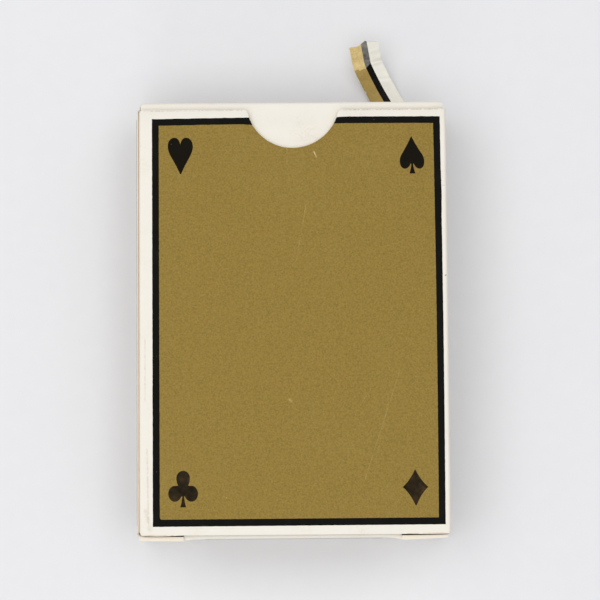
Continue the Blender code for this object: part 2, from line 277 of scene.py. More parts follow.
def mottle_group():
    """Ink_Mottle: the grain of a printed metallic ink, as a tone, a warmth and a fine flake."""
    ports = [("Tone", FLOAT), ("Warmth", FLOAT), ("Flake", FLOAT)]
    tree, given, out = start_group("Ink_Mottle", [("Grain", FLOAT, 1400.0)], ports)
    place = own_place(tree)
    grain = given.outputs["Grain"]
    shifted = vector_node(tree, "ADD", {0: place, 1: (0.31, 0.17, 0.05)}, 0)
    flakes = noise_at(tree, place, times(tree, grain, 3.2), 4.0, 0.7)
    tree.links.new(fit_range(tree, noise_at(tree, place, grain), 0.3, 0.7), out.inputs[0])
    warm = noise_at(tree, shifted, times(tree, grain, 0.7), 4.0, 0.6)
    tree.links.new(fit_range(tree, warm, 0.3, 0.7), out.inputs[1])
    tree.links.new(flakes, out.inputs[2])
    return tree


FIBRES, DIRT, SPECKS = fibres_group(), dirt_group(), specks_group()
WORN_LINE, MOTTLE = worn_line_group(), mottle_group()


class Finish:
    """One material: a Principled shader whose colour is painted in layers."""

    def __init__(self, name, colour, roughness, metallic=0.0, specular=0.5):
        self.material = bpy.data.materials.new(name)
        self.material.use_nodes = True
        self.tree = self.material.node_tree
        self.shader = self.tree.nodes["Principled BSDF"]
        self.shader.inputs["Roughness"].default_value = roughness
        self.shader.inputs["Metallic"].default_value = metallic
        self.shader.inputs["Specular IOR Level"].default_value = specular
        self.material.diffuse_color = colour
        self.colour = colour

    def effect(self, group, **values):
        made = self.tree.nodes.new("ShaderNodeGroup")
        made.node_tree = group
        for label, value in values.items():
            made.inputs[label].default_value = value
        return made.outputs

    def paint(self, mask, colour, strength=1.0):
        """Lays colour over what is there, where mask says."""
        factor = math_node(self.tree, "MULTIPLY", mask, strength, clamp=True)
        self.colour = blend_colour(self.tree, factor, self.colour, colour)

    def worn(self, *lines):
        """Scratches and rubbed lines on the front, each between two (x, y) points."""
        for start, end, width, colour, strength, breaks in lines:
            ends = [[c * MM for c in (*point, TOP)] for point in (start, end)]
            made = self.effect(WORN_LINE, Start=ends[0], End=ends[1], Width=width * MM,
                               Breaks=breaks)
            self.paint(made["Mask"], colour, strength)

    def gloss(self, value, low, high):
        """Roughness from low to high as value goes from 0 to 1."""
        ranged = fit_range(self.tree, value, 0.0, 1.0, low, high)
        self.tree.links.new(ranged, self.shader.inputs["Roughness"])

    def relief(self, height, strength, distance):
        links = {"Height": height, "Strength": strength, "Distance": distance * MM}
        bump = add(self.tree, "ShaderNodeBump", links)
        self.tree.links.new(bump.outputs[0], self.shader.inputs["Normal"])

    def done(self):
        self.tree.links.new(self.colour, self.shader.inputs["Base Color"])
        return self.material


# ---- finishes
DIRT_BROWN = shade(176, 160, 132)
DARK_CRUMB = shade(120, 98, 72)
LIP_TAN = shade(206, 168, 126)


def coated_board():
    """The cream clay-coated outside of the board."""
    finish = Finish("coated_board", shade(233, 228, 217), 0.42)
    fibres = finish.effect(FIBRES, Grain=900.0)
    finish.paint(fibres["Tone"], shade(229, 223, 210), 0.55)
    finish.paint(finish.effect(DIRT, Size=110.0, Amount=0.5)["Mask"], DIRT_BROWN, 0.45)
    specks = finish.effect(SPECKS, Cells=330.0, Reach=0.07, Share=0.05)["Mask"]
    finish.paint(specks, DARK_CRUMB, 0.8)
    rub, slit = FRONT_TOP - 0.12, FRONT_BOTTOM + 0.02
    finish.worn(
        ((-31.5, rub - 0.1), (-10.6, rub), 0.2, DIRT_BROWN, 0.6, 2300.0),
        ((11.4, rub), (31.5, rub), 0.26, DIRT_BROWN, 0.8, 2100.0),
        ((-31.8, slit), (-25.5, slit - 0.1), 0.22, LIP_TAN, 0.85, 500.0),
        ((24.0, slit), (32.2, slit + 0.1), 0.18, LIP_TAN, 0.7, 700.0),
        ((-31.4, -3.8), (-31.4, -17.2), 0.2, DARK_CRUMB, 0.3, 1500.0),
        ((-31.0, -27.5), (-30.7, -43.5), 0.3, DIRT_BROWN, 0.4, 2300.0),
        ((-31.2, -40.5), (-30.4, -44.4), 0.8, DIRT_BROWN, 0.35, 1300.0),
        ((32.0, 28.66), (33.2, 28.6), 0.12, DARK_CRUMB, 0.5, 700.0),
        ((32.75, 9.2), (32.9, 9.3), 0.22, shade(120, 80, 62), 0.9, 60.0),
    )
    finish.gloss(fibres["Tone"], 0.36, 0.5)
    finish.relief(fibres["Tooth"], 0.25, 0.02)
    return finish.done()


def fibrous(name, base, rough, grain, tone, share, tooth, depth, specular=0.5, specks=None):
    """A material of fibres: a base colour, share of a cloudy tone over it, and a fine tooth."""
    finish = Finish(name, shade(*base), rough, specular=specular)
    fibres = finish.effect(FIBRES, Grain=grain)
    finish.paint(fibres["Tone"], shade(*tone), share)
    if specks:
        dots = finish.effect(SPECKS, Cells=900.0, Reach=0.12, Share=0.12)["Mask"]
        finish.paint(dots, shade(*specks), 0.6)
    finish.relief(fibres["Tooth"], tooth, depth)
    return finish.done()


def gold_ink(name, tones, metallic, scratched=False):
    """Bronze-gold printing ink with a satin, finely mottled grain, in three close tones."""
    tones = [shade(*tone) for tone in tones]
    finish = Finish(name, tones[0], 0.42, metallic, specular=0.25)
    mottle = finish.effect(MOTTLE, Grain=2700.0)
    finish.paint(mottle["Tone"], tones[1], 0.85)
    finish.paint(mottle["Warmth"], tones[2], 0.6)
    finish.paint(finish.effect(DIRT, Size=45.0, Amount=0.6)["Mask"], tones[3], 0.4)
    specks = finish.effect(SPECKS, Cells=210.0, Reach=0.035, Share=0.1)["Mask"]
    finish.paint(specks, shade(214, 202, 150), 0.8)
    if scratched:
        pale, bright = shade(188, 166, 108), shade(225, 214, 170)
        finish.worn(
            ((-0.9, 36.9), (-0.9, 33.4), 0.14, pale, 0.55, 900.0),
            ((4.9, 36.1), (5.4, 34.9), 0.16, bright, 0.85, 1400.0),
            ((0.87, 12.2), (3.1, 24.6), 0.11, pale, 0.4, 700.0),
            ((-0.9, -16.9), (-0.3, -17.5), 0.4, pale, 0.4, 1300.0),
            ((15.1, -34.3), (22.8, -11.0), 0.12, pale, 0.3, 500.0),
            ((17.5, -30.5), (20.9, -15.0), 0.1, pale, 0.25, 420.0),
            ((13.2, -20.4), (17.8, -12.6), 0.1, pale, 0.22, 600.0),
        )
    finish.gloss(mottle["Flake"], 0.34, 0.52)
    finish.relief(mottle["Flake"], 0.18, 0.012)
    return finish.done()


def black_ink(name, base, rubbed, strength, thinned=0.0):
    """Dense printing ink, rubbed thin in places and dotted with pale specks."""
    finish, rubbed = Finish(name, shade(*base), 0.45, specular=0.045), shade(*rubbed)
    mottle = finish.effect(MOTTLE, Grain=700.0)
    rub = finish.effect(DIRT, Size=190.0, Amount=1.0)["Mask"]
    finish.paint(rub, rubbed, strength)
    finish.paint(mottle["Warmth"], rubbed, thinned)
    specks = finish.effect(SPECKS, Cells=620.0, Reach=0.09, Share=0.07)["Mask"]
    finish.paint(specks, shade(104, 100, 92), 0.7)
    finish.gloss(mottle["Tone"], 0.32, 0.5)
    finish.relief(mottle["Flake"], 0.15, 0.01)
    return finish.done()


COATED = coated_board()
# The uncoated inside: grey-white pulp with short fibres.
INSIDE = fibrous("inside_board", (214, 205, 188), 0.85, 1600.0, (196, 184, 163), 0.6, 0.5, 0.03,
                 0.25, (150, 134, 108))
# The die-cut edge: pulp that has browned a little.
CUT = fibrous("cut_edge", (236, 222, 198), 0.8, 3000.0, (216, 188, 152), 0.75, 0.5, 0.02, 0.25)
# The crushed rim of the closures' boards, still pale with coating.
LIP = fibrous("lip_edge", (236, 228, 212), 0.7, 2200.0, (226, 210, 186), 0.5, 0.4, 0.02, 0.3)
# Pulp laid bare where a ply was peeled off: loose fibres and ridges.
TORN = fibrous("torn_pulp", (232, 225, 208), 0.9, 700.0, (206, 192, 166), 0.8, 0.9, 0.08, 0.2)
# The thin brown line of glue along the side seam.
GLUE = fibrous("dried_glue", (206, 164, 118), 0.5, 1500.0, (178, 132, 88), 0.7, 0.4, 0.02)
CARD_FACE = fibrous("card_face", (240, 238, 230), 0.35, 1300.0, (232, 229, 219), 0.5, 0.3, 0.015)
CARD_EDGE = fibrous("card_edge", (228, 224, 212), 0.7, 1300.0, (206, 200, 186), 0.5, 0.3, 0.015)
# Each gold: its base, its darker mottle, its warmer mottle and its grime.
GOLD_TONES = ((139, 119, 53), (101, 83, 25), (138, 108, 49), (143, 125, 68))
STRIP_TONES = ((184, 158, 92), (160, 136, 72), (184, 156, 92), (200, 178, 118))
# Paler gold tones: a painted highlight on the strip's upturned end.
PAINTED_HIGHLIGHT_TONES = ((232, 208, 146), (196, 168, 104), (236, 212, 152), (250, 238, 196))
GOLD = gold_ink("gold_ink_front", GOLD_TONES, 0.45, scratched=True)
PLAIN_GOLD = gold_ink("gold_ink_plain", GOLD_TONES, 0.45)
BLACK = black_ink("black_ink", (11, 11, 8), (40, 36, 31), 0.4)
PIP = black_ink("pip_ink", (17, 13, 4), (70, 56, 36), 0.5)
WORN_PIP = black_ink("worn_pip_ink", (17, 13, 4), (106, 84, 54), 1.0, 0.22)
BOARD_FINISH = (COATED, INSIDE, CUT, TORN)
LIP_FINISH = (COATED, INSIDE, LIP, TORN)


# ---- pieces of board
PLANES = {"xz": (X, Z, Y), "yz": (Y, Z, X), "xy": (X, Y, Z)}


def new_piece(name, bm, finishes, sharp=35):
    mesh = bpy.data.meshes.new(name)
    bm.to_mesh(mesh)
    bm.free()
    for material in finishes:
        mesh.materials.append(material)
    mesh.shade_smooth()
    mesh.set_sharp_from_angle(angle=math.radians(sharp))
    piece = bpy.data.objects.new(name, mesh)
    bpy.context.scene.collection.objects.link(piece)
    return piece


def fold(centre, first, last, first_width, last_width, steps=7):
    """Stations round a crease from outward direction first to last, in degrees."""
    made = []
    for i in range(steps + 1):
        t = i / steps
        a = math.radians(first + (last - first) * t)
        outward = (math.cos(a), math.sin(a))
        point = (centre[0] + BEND * outward[0], centre[1] + BEND * outward[1])
        low, high = (p + (q - p) * t for p, q in zip(first_width, last_width))
        made.append((point, outward, low, high))
    return made


def spread(low, high, count):
    """count + 1 evenly spaced values from low to high."""
    return [low + (high - low) * i / count for i in range(count + 1)]


def board(name, plane, stations, columns=8, omit=None, joined=(), shape=None, patch=None,
          thickness=BOARD, finishes=BOARD_FINISH, soft=0.05):
    """A piece of board along a path of (point, outward, low, high) stations.

    columns is a number of cells or the cells' own positions across the piece. joined says which
    ends of the path, 0 or -1, meet another piece and keep a plain edge. shape moves a point of
    the outer or inner face, and patch says which of its outer cells are torn.
    """
    along, up, across = PLANES[plane]
    bm = bmesh.new()
    inner_of, rows = {}, []
    for (a, b), (na, nb), low, high in stations:
        row = []
        places = spread(low, high, columns) if isinstance(columns, int) else columns
        for t in places:
            t = min(max(t, low), high)
            corners = []
            for depth in (0.0, thickness):
                place = along * (a - na * depth) + up * (b - nb * depth) + across * t
                if shape:
                    place = shape(place, depth > 0)
                corners.append(bm.verts.new(place * MM))
            inner_of[corners[0]] = corners[1]
            row.append(corners[0])
        rows.append(row)
    for i in range(len(rows) - 1):
        for j in range(len(rows[0]) - 1):
            if omit and omit(i, j):
                continue
            cell = (rows[i][j], rows[i][j + 1], rows[i + 1][j + 1], rows[i + 1][j])
            outer = bm.faces.new(cell)
            bm.faces.new([inner_of[v] for v in reversed(cell)]).material_index = 1
            if patch and patch(outer.calc_center_median() / MM):
                outer.material_index = 3
    for edge in [e for e in bm.edges if len(e.link_faces) == 1 and e.verts[0] in inner_of]:
        p, q = edge.verts
        bm.faces.new((p, q, inner_of[q], inner_of[p])).material_index = 2
    bmesh.ops.delete(bm, geom=[v for v in bm.verts if not v.link_faces], context="VERTS")
    bmesh.ops.dissolve_degenerate(bm, dist=1e-7, edges=bm.edges)
    bmesh.ops.recalc_face_normals(bm, faces=bm.faces)
    plain = set()
    for end in joined:
        for vert in rows[end]:
            plain.update((vert, inner_of[vert]))
    rim = [
        e for e in bm.edges
        if len(e.link_faces) == 2
        and (e.link_faces[0].material_index == 2) != (e.link_faces[1].material_index == 2)
        and not all(v in plain for v in e.verts)
    ]
    bmesh.ops.bevel(bm, geom=rim, offset=soft * MM, segments=2, profile=0.5, affect="EDGES",
                    clamp_overlap=True)
    return new_piece(name, bm, finishes)


def stands_for(piece, body, slot, *nodes):
    """The piece rides on body and replaces the CAD nodes. slot is not used."""
    if body:
        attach(piece, body)
    if nodes:
        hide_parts(*nodes)
    return piece


# ---- the tube
def notch_edge(x):
    """Y of the front panel's top edge at x, with the thumb notch and its fillets."""
    off = abs(x - NOTCH_X) / NOTCH_SQUEEZE[-1 if x < NOTCH_X else 1]
    if off >= NOTCH_REACH:
        return FRONT_TOP
    if off > NOTCH_RADIUS * math.cos(NOTCH_LEAN):
        rise = math.sqrt(max(0.0, NOTCH_FILLET**2 - (NOTCH_REACH - off) ** 2))
        return FRONT_TOP - NOTCH_FILLET + rise
    return FRONT_TOP + NOTCH_RISE - math.sqrt(NOTCH_RADIUS**2 - off**2)


def bottom_edge(x):
    """Y of the front panel's bottom edge at x, which bows out beside each slit."""
    side = -1 if x < 0 else 1
    reach = (abs(x) - SLIT_X) / (SIDE - SLIT_X)
    if reach <= 0:
        return FRONT_BOTTOM - 0.04
    return FRONT_BOTTOM - BELLY[side] * math.sin(math.pi * min(1.0, reach))


def front_stations():
    left, right = SEAM_X + BEND, SIDE - BEND
    xs = set(spread(left, right, 26)) | set(spread(SLIT_X, right, 8))
    xs |= set(spread(left, -SLIT_X, 8))
    for side in (-1, 1):
        for i in range(25):
            angle = (math.pi / 2 - NOTCH_LEAN) * i / 24
            xs.add(NOTCH_X + side * NOTCH_SQUEEZE[side] * NOTCH_RADIUS * math.sin(angle))
        for i in range(9):
            angle = NOTCH_LEAN + (math.pi / 2 - NOTCH_LEAN) * i / 8
            reach = NOTCH_REACH - NOTCH_FILLET * math.cos(angle)
            xs.add(NOTCH_X + side * NOTCH_SQUEEZE[side] * reach)
    kept = []
    for x in sorted(xs):
        if not kept or x - kept[-1] > 0.004:
            kept.append(x)
    return [((x, TOP), (0.0, 1.0), bottom_edge(x), notch_edge(x)) for x in kept]


def front_panel():
    left = fold(
        (SEAM_X + BEND, TOP - BEND), 180, 90, (-SEAM_END, SEAM_END),
        (bottom_edge(SEAM_X + BEND), FRONT_TOP),
    )
    right = fold(
        (SIDE - BEND, TOP - BEND), 90, 0, (bottom_edge(SIDE - BEND), FRONT_TOP),
        (-SIDE_END, SIDE_END),
    )
    stations = left[:-1] + front_stations() + right[1:]
    stations.append(((SIDE, TOP - BEND - FLAT), (1.0, 0.0), -SIDE_END, SIDE_END))
    first = ((SEAM_X, TOP - BEND - FLAT), (-1.0, 0.0), -SEAM_END, SEAM_END)
    piece = board("front_board", "xz", [first] + stations, 14, joined=(0, -1))
    stands_for(piece, "case", "cream_board", "front_panel")


def glue_flap():
    low, high = seam_low.z, TOP - BEND - FLAT
    stations = []
    for z in spread(low, high, 8):
        half = SEAM_END - 3.0 * (high - z) / (high - low)
        stations.append(((SEAM_X, z), (-1.0, 0.0), -half, half))
    piece = board("glue_flap_board", "xz", stations, 12, joined=(-1,),
                  finishes=(INSIDE, INSIDE, CUT))
    stands_for(piece, "case", "inside_board", "glue_seam_flap")


def glue_line():
    low, high = seam_low.z + 1.5, side_high.z - 0.12
    stations = [((SEAM_X - 0.125, z), (-1.0, 0.0), -SEAM_END + 0.4, SEAM_END - 0.4)
                for z in spread(low, high, 6)]
    piece = board("seam_glue_line", "xz", stations, 40, thickness=0.12,
                  finishes=(GLUE, GLUE, GLUE), soft=0.02,
                  shape=lambda place, inside: place + Z * 0.07 * noise.noise(place * 0.7))
    stands_for(piece, "case", "inside_board")


def scar_reach(place):
    """How deep inside the torn patch a point is, ragged by noise. Above 0 is torn."""
    fray = 0.35 * noise.noise(place * 0.9) + 0.2 * noise.noise(place * 3.1)
    if place.x > SIDE - 0.3 and place.z > 0.45:
        return min(SCAR_SIDE_Z - place.z, place.y - SCAR_SIDE_Y) + fray
    return min(place.x - SCAR_X, place.y - SCAR_Y) + fray


def scarred(place, inside):
    """Sinks the outer face inside the torn patch, with ridges of pulp left standing."""
    depth = min(1.0, max(0.0, scar_reach(place) / 0.25))
    if inside or depth <= 0:
        return place
    depth *= SCAR_DEPTH * (0.75 + 0.35 * noise.noise(place * Vector((0.8, 4.0, 2.0)).length))
    centre = Vector((SIDE - BEND, place.y, UNDER + BEND))
    if place.x > centre.x and place.z < centre.z:
        return place + (centre - place).normalized() * depth
    return place + (Z * depth if place.z < 0.3 else -X * depth)


def is_torn(place):
    return scar_reach(place) > 0.06


FINE_ACROSS = spread(-BACK_END, 38.0, 16) + spread(38.25, BACK_END, 31)


def side_and_back():
    top = TOP - BEND - FLAT
    right = [
        ((SIDE, z), (1.0, 0.0), -SIDE_END, SIDE_END)
        for z in spread(top, 5.2, 6) + spread(4.95, UNDER + BEND, 17)
    ]
    piece = board("right_side_board", "xz", right, FINE_ACROSS, joined=(0, -1),
                  shape=scarred, patch=is_torn)
    stands_for(piece, "case", "cream_board", "right_side_panel")
    xs = spread(SIDE - BEND, 16.6, 64) + spread(15.0, -SIDE + BEND, 20)
    ends, wide = (-SIDE_END, SIDE_END), (-BACK_END, BACK_END)
    stations = fold((SIDE - BEND, UNDER + BEND), 0, -90, ends, wide, 8)[:-1]
    stations += [((x, UNDER), (0.0, -1.0), *wide) for x in xs]
    stations += fold((-SIDE + BEND, UNDER + BEND), -90, -180, wide, ends)[1:]
    stations.append(((-SIDE, UNDER + BEND + FLAT), (-1.0, 0.0), *ends))
    piece = board("back_board", "xz", stations, FINE_ACROSS, joined=(0, -1),
                  shape=scarred, patch=is_torn)
    stands_for(piece, "case", "cream_board", "back_panel")


def pressed(place, inside):
    """The left side's upper rim is skived thin and pressed onto the glue seam."""
    lean = ease((place.z - SEAM_PRESS_FROM) / (side_high.z - SEAM_PRESS_FROM))
    return place + X * lean * (INNER_PRESS if inside else OUTER_PRESS)


def left_side():
    low, high, corner = UNDER + BEND + FLAT, side_high.z, 0.7
    stations = [((-SIDE, z), (-1.0, 0.0), -SIDE_END, SIDE_END)
                for z in spread(low, high - corner, 16)]
    for i in range(1, 6):
        angle = math.pi / 2 * i / 5
        half = SIDE_END - corner * (1 - math.cos(angle))
        z = high - corner * (1 - math.sin(angle))
        stations.append(((-SIDE, z), (-1.0, 0.0), -half, half))
    piece = board("left_side_board", "xz", stations, 16, joined=(0,), shape=pressed)
    stands_for(piece, "case", "cream_board", "left_side_panel")


# ---- the lid and its tuck flap
def flap_tail(way):
    """Stations of a tuck flap from near its crease to its tip, at the closure at way * Y."""
    start = TUCK_TIP + TUCK_CORNER
    ys = spread(END - 1.3, start, 8)[1:]
    ys += [TUCK_TIP + TUCK_CORNER * (1 - math.sin(math.pi / 2 * i / 8)) for i in range(1, 9)]
    made = []
    for y in ys:
        off = max(0.0, TUCK_CORNER - (y - TUCK_TIP))
        half = TUCK_HALF - (TUCK_CORNER - math.sqrt(max(0.0, TUCK_CORNER**2 - off**2)))
        made.append(((way * y, PANEL_TOP + BEND), (0.0, 1.0), -half, half))
    return made


def ease(value):
    value = min(1.0, max(0.0, value))
    return value * value * (3 - 2 * value)


def lid_swollen(place, inside):
    """The lid springs out along its crease, and its tuck flap up under the front panel."""
    out = LID_SWELL * ease((place.z - SWELL_FROM) / (PANEL_TOP - SWELL_FROM))
    out *= ease((place.y - (END - 2.2)) / 1.8)
    corner, weaker = 1.1, 0.75  # it springs less in this corner at the left end
    out *= 1.0 - weaker * ease((corner - place.x - LID_HALF) / corner)
    up = TUCK_SPRING * ease((END - 0.8 - place.y) / 5.0) if place.z > PANEL_TOP - 1 else 0.0
    return place + Y * out + Z * up


LID_ACROSS = spread(-LID_HALF, -LID_HALF + 1.6, 6) + spread(-LID_HALF + 3.6, LID_HALF, 22)


def lid():
    wide = (-LID_HALF, LID_HALF)
    stations = fold((END - BEND, UNDER + BEND), -90, 0, wide, wide)
    for z in spread(UNDER + BEND, PANEL_TOP - FLAT, 10)[1:]:
        trim = LID_TRIM * ease((z - SWELL_FROM) / (PANEL_TOP - SWELL_FROM))
        stations.append(((END, z), (1.0, 0.0), -LID_HALF + trim, LID_HALF))
    panel = board("lid_board", "yz", stations, LID_ACROSS, joined=(0, -1), shape=lid_swollen,
                  finishes=LIP_FINISH)
    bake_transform(panel)
    stands_for(panel, None, "cream_board", "lid_panel")

    crease, shoulder = (-LID_HALF + LID_TRIM, LID_HALF), (-LID_HALF + SHOULDER_TRIM, LID_HALF)
    stations = [((END, PANEL_TOP - FLAT), (1.0, 0.0), *crease)]
    stations += fold((END - BEND, PANEL_TOP), 0, 90, crease, shoulder, 8)
    stations.append(((END - 0.95, PANEL_TOP + BEND), (0.0, 1.0), *shoulder))
    stations += flap_tail(1)
    flap = board("lid_tuck_board", "yz", stations, LID_ACROSS, joined=(0,), shape=lid_swollen,
                 finishes=LIP_FINISH)
    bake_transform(flap)
    stands_for(flap, None, "cream_board", "lid_tuck_flap")


# ---- the bottom closure
def lip_bow(x, z):
    """How far the bottom panel springs outwards at (x, z), most at its free lips."""
    inner, corner = LIP_BOW[-1 if x < 0 else 1]
    across = max(0.0, (abs(x) - SLIT_X) / (LID_HALF - SLIT_X))
    fade = min(1.0, max(0.0, (abs(x) / SLIT_X - 0.8) / 0.18))
    lip = (inner + (corner - inner) * across) * fade**2
    share = 0.5 + 0.5 * max(-1.0, min(1.0, x / SLIT_X))
    middle = BASE_SWELL[-1] + (BASE_SWELL[1] - BASE_SWELL[-1]) * share
    rise = ease((z - SWELL_FROM) / (LIP_TOP - SWELL_FROM))
    return (lip + (1 - fade**2) * middle) * rise


def leaned(place, inside):
    """The bottom closure's boards follow the bow near their crease."""
    reach = min(1.0, max(0.0, (-place.y - 44.6) / 1.3))
    crush = 0.0
    if inside:  # the crushed lips are thicker towards their cut edge
        rim = ease((place.z - PANEL_TOP + 0.4) / (LIP_TOP - PANEL_TOP + 0.4))
        reach *= 1.0 - 0.75 * rim
        if abs(place.x) > SLIT_RIGHT - 0.01 and place.y < -END + 1.0:
            crush = LIP_CRUSH * rim
    return place + Y * (crush - lip_bow(place.x, place.z) * reach)


def base():
    wide = (-LID_HALF, LID_HALF)
    stations = fold((-END + BEND, UNDER + BEND), -90, -180, wide, wide)
    low_rows = spread(UNDER + BEND, PANEL_TOP - FLAT, 12)[1:]
    lip_rows = spread(PANEL_TOP - FLAT, LIP_TOP, 4)[1:]
    for z in low_rows + lip_rows:
        stations.append(((-END, z), (-1.0, 0.0), *wide))
    first_lip_row = len(stations) - 1 - len(lip_rows)
    across = spread(-LID_HALF, SLIT_LEFT, 10) + spread(SLIT_LEFT, SLIT_RIGHT, 22)[1:-1]
    across += spread(SLIT_RIGHT, LID_HALF, 10)

    def tongue(i, j):
        middle = (across[j] + across[j + 1]) / 2
        return i >= first_lip_row and SLIT_LEFT < middle < SLIT_RIGHT

    panel = board("bottom_board", "yz", stations, across, omit=tongue, joined=(0,),
                  shape=leaned, finishes=LIP_FINISH)
    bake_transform(panel)
    stands_for(panel, None, "cream_board", "bottom_panel")

    narrow = (SLIT_LEFT, SLIT_RIGHT)
    stations = [((-END, PANEL_TOP - FLAT), (-1.0, 0.0), *narrow)]
    stations += fold((-END + BEND, PANEL_TOP), 180, 90, narrow, narrow, 8)
    stations.append(((-END + 1.28, PANEL_TOP + BEND), (0.0, 1.0), *narrow))

    # The station at full width follows the tail's first one.
    tail = flap_tail(-1)
    full = ((-END + 1.32, PANEL_TOP + BEND), (0.0, 1.0), -TUCK_HALF, TUCK_HALF)
    stations += [tail[0], full] + tail[1:]
    flap = board("bottom_tuck_board", "yz", stations, 30, joined=(0,), shape=leaned)
    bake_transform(flap)
    stands_for(flap, None, "cream_board", "bottom_tuck_flap")


# ---- dust flaps
def dust_flap(body, side, end):
    """A dust flap turned in from the side at side * X, at the closure at end * Y."""
    node = body + "_flap"
    root_low, root_high = dust_low.z, dust_high.z
    tip_low, tip_high, corner = 5.0, 11.22, 1.4
    reach = (SIDE - BEND) - dust_low.x
    start = (side * SIDE, end * (SIDE_END - FLAT))
    stations = [(start, (float(side), 0.0), root_low, root_high)]
    first = 0 if side > 0 else 180
    last = first + 90 * side * end
    centre = (side * (SIDE - BEND), end * SIDE_END)
    root = (root_low, root_high)
    stations += fold(centre, first, last, root, root)
    distances = spread(0.0, reach - corner, 7)[1:]
    distances += [reach - corner * (1 - math.sin(math.pi / 2 * i / 6)) for i in range(1, 7)]
    for gone in distances:
        t = gone / reach
        off = max(0.0, gone - (reach - corner))
        inset = corner - math.sqrt(max(0.0, corner**2 - off**2))
        low = root_low + (tip_low - root_low) * t + inset
        high = root_high + (tip_high - root_high) * t - inset
        point = (side * (SIDE - BEND - gone), end * (SIDE_END + BEND))
        stations.append((point, (0.0, float(end)), low, high))
    piece = board(node + "_board", "xy", stations, 8, joined=(0,))
    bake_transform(piece)
    stands_for(piece, None, "cream_board", node)


# ---- printed inks
# The point at (a, b) on each printed face, and the face's outward side.
FACES = {
    "front": (lambda a, b: Vector((a, b, TOP)), Z),
    "back": (lambda a, b: Vector((a, b, UNDER)), -Z),
    "right": (lambda a, b: Vector((SIDE, b, a)), X),
    "left": (lambda a, b: Vector((-SIDE, b, a)), -X),
    "lid": (lambda a, b: Vector((a, END, b)), Y),
    "bottom": (lambda a, b: Vector((a, -END, b)), -Y),
}


def ragged(points, amount, seed, step=0.6):
    """The outline with points every step, moved a little by noise, as worn print is."""
    made = []
    for i, (x0, y0) in enumerate(points):
        x1, y1 = points[(i + 1) % len(points)]
        length = math.hypot(x1 - x0, y1 - y0)
        count = max(1, round(length / step))
        for k in range(count):
            t = k / count
            x, y = x0 + (x1 - x0) * t, y0 + (y1 - y0) * t
            if amount:
                here = Vector((x * 1.3, y * 1.3, seed))
                x += amount * noise.noise(here)
                y += amount * noise.noise(here + Vector((40, 0, 0)))
            made.append((x, y))
    return made


def ink(name, face, outlines, material, lift, thick=INK):
    """Flat printed shapes on a face, their outer side lift above its coating."""
    bm = bmesh.new()
    point_at, outward = FACES[face]
    for points in outlines:
        top = [bm.verts.new((point_at(a, b) + outward * lift) * MM) for a, b in points]
        low = [bm.verts.new((point_at(a, b) + outward * (lift - thick)) * MM) for a, b in points]
        bm.faces.new(top)
        for i in range(len(top)):
            j = (i + 1) % len(top)
            bm.faces.new((top[i], top[j], low[j], low[i]))
        bm.faces.new(list(reversed(low)))
    bmesh.ops.recalc_face_normals(bm, faces=bm.faces)
    bmesh.ops.triangulate(bm, faces=[f for f in bm.faces if len(f.verts) > 4])
    return new_piece(name, bm, (material,), 20)


# The print sits a little askew on the board. Corners run from bottom left to the right and up.
BORDER = ((-29.78, -43.84), (32.1, -43.73), (31.97, 43.6), (-29.86, 43.36))
FIELD = ((-28.3, -42.33), (30.68, -42.25), (30.53, 42.13), (-28.4, 41.92))
RIGHT_BOW = 0.16  # the right-hand lines bow out by this
TOP_BOW = 0.18  # and the top lines rise by this in the middle
NOTCH_MARGIN = 0.05  # the prints stop this far short of the notch
BULGE_FROM, BULGE_TO, BULGE = 24.0, 27.5, 0.1  # a place where the right line is printed wider
FIELD_LAP = 0.15  # the gold runs on this far under the black
GOLD_LIFT, BLACK_LIFT, PIP_LIFT = 0.012, 0.0165, 0.0195


def bowed(low, high, steps=16):
    """Points up a right-hand line from low to high, bowed out."""
    return [
        (low[0] + (high[0] - low[0]) * t + RIGHT_BOW * math.sin(math.pi * t),
         low[1] + (high[1] - low[1]) * t)
        for t in spread(0.0, 1.0, steps)
    ]


def top_line(corners, x):
    """Y at x on the bowed line between the two top corners."""
    (x1, y1), (x0, y0) = corners[2], corners[3]
    t = (x - x0) / (x1 - x0)
    return y0 + (y1 - y0) * t + TOP_BOW * math.sin(math.pi * t)


def top_run(corners, start, end):
    """Points on the top line from x = start to x = end, without the last."""
    return [(x, top_line(corners, x)) for x in spread(start, end, 8)[:-1]]


def notch_arc(corners):
    """The notch's edge below a print's top line, from left to right."""
    radius, centre = NOTCH_RADIUS + NOTCH_MARGIN, FRONT_TOP + NOTCH_RISE
    around = [
        (NOTCH_X + NOTCH_SQUEEZE[-1 if a < 0 else 1] * radius * math.sin(a),
         centre - radius * math.cos(a))
        for a in spread(-1.3, 1.3, 120)
    ]
    return [p for p in around if p[1] < top_line(corners, p[0])]


def field_outline(corners):
    """The gold field's outline: bottom-left corner, bottom, right, notch and top left."""
    corner = [
        (corners[0][0] + 0.5 * (1 - math.cos(a)), corners[0][1] + 0.5 * (1 - math.sin(a)))
        for a in spread(0.0, math.pi / 2, 5)
    ]
    cut = notch_arc(corners)
    made = corner + bowed(corners[1], corners[2])[:-1]
    made += top_run(corners, corners[2][0], cut[-1][0]) + cut[::-1]
    return made + top_run(corners, cut[0][0], corners[3][0])[1:] + [corners[3]]


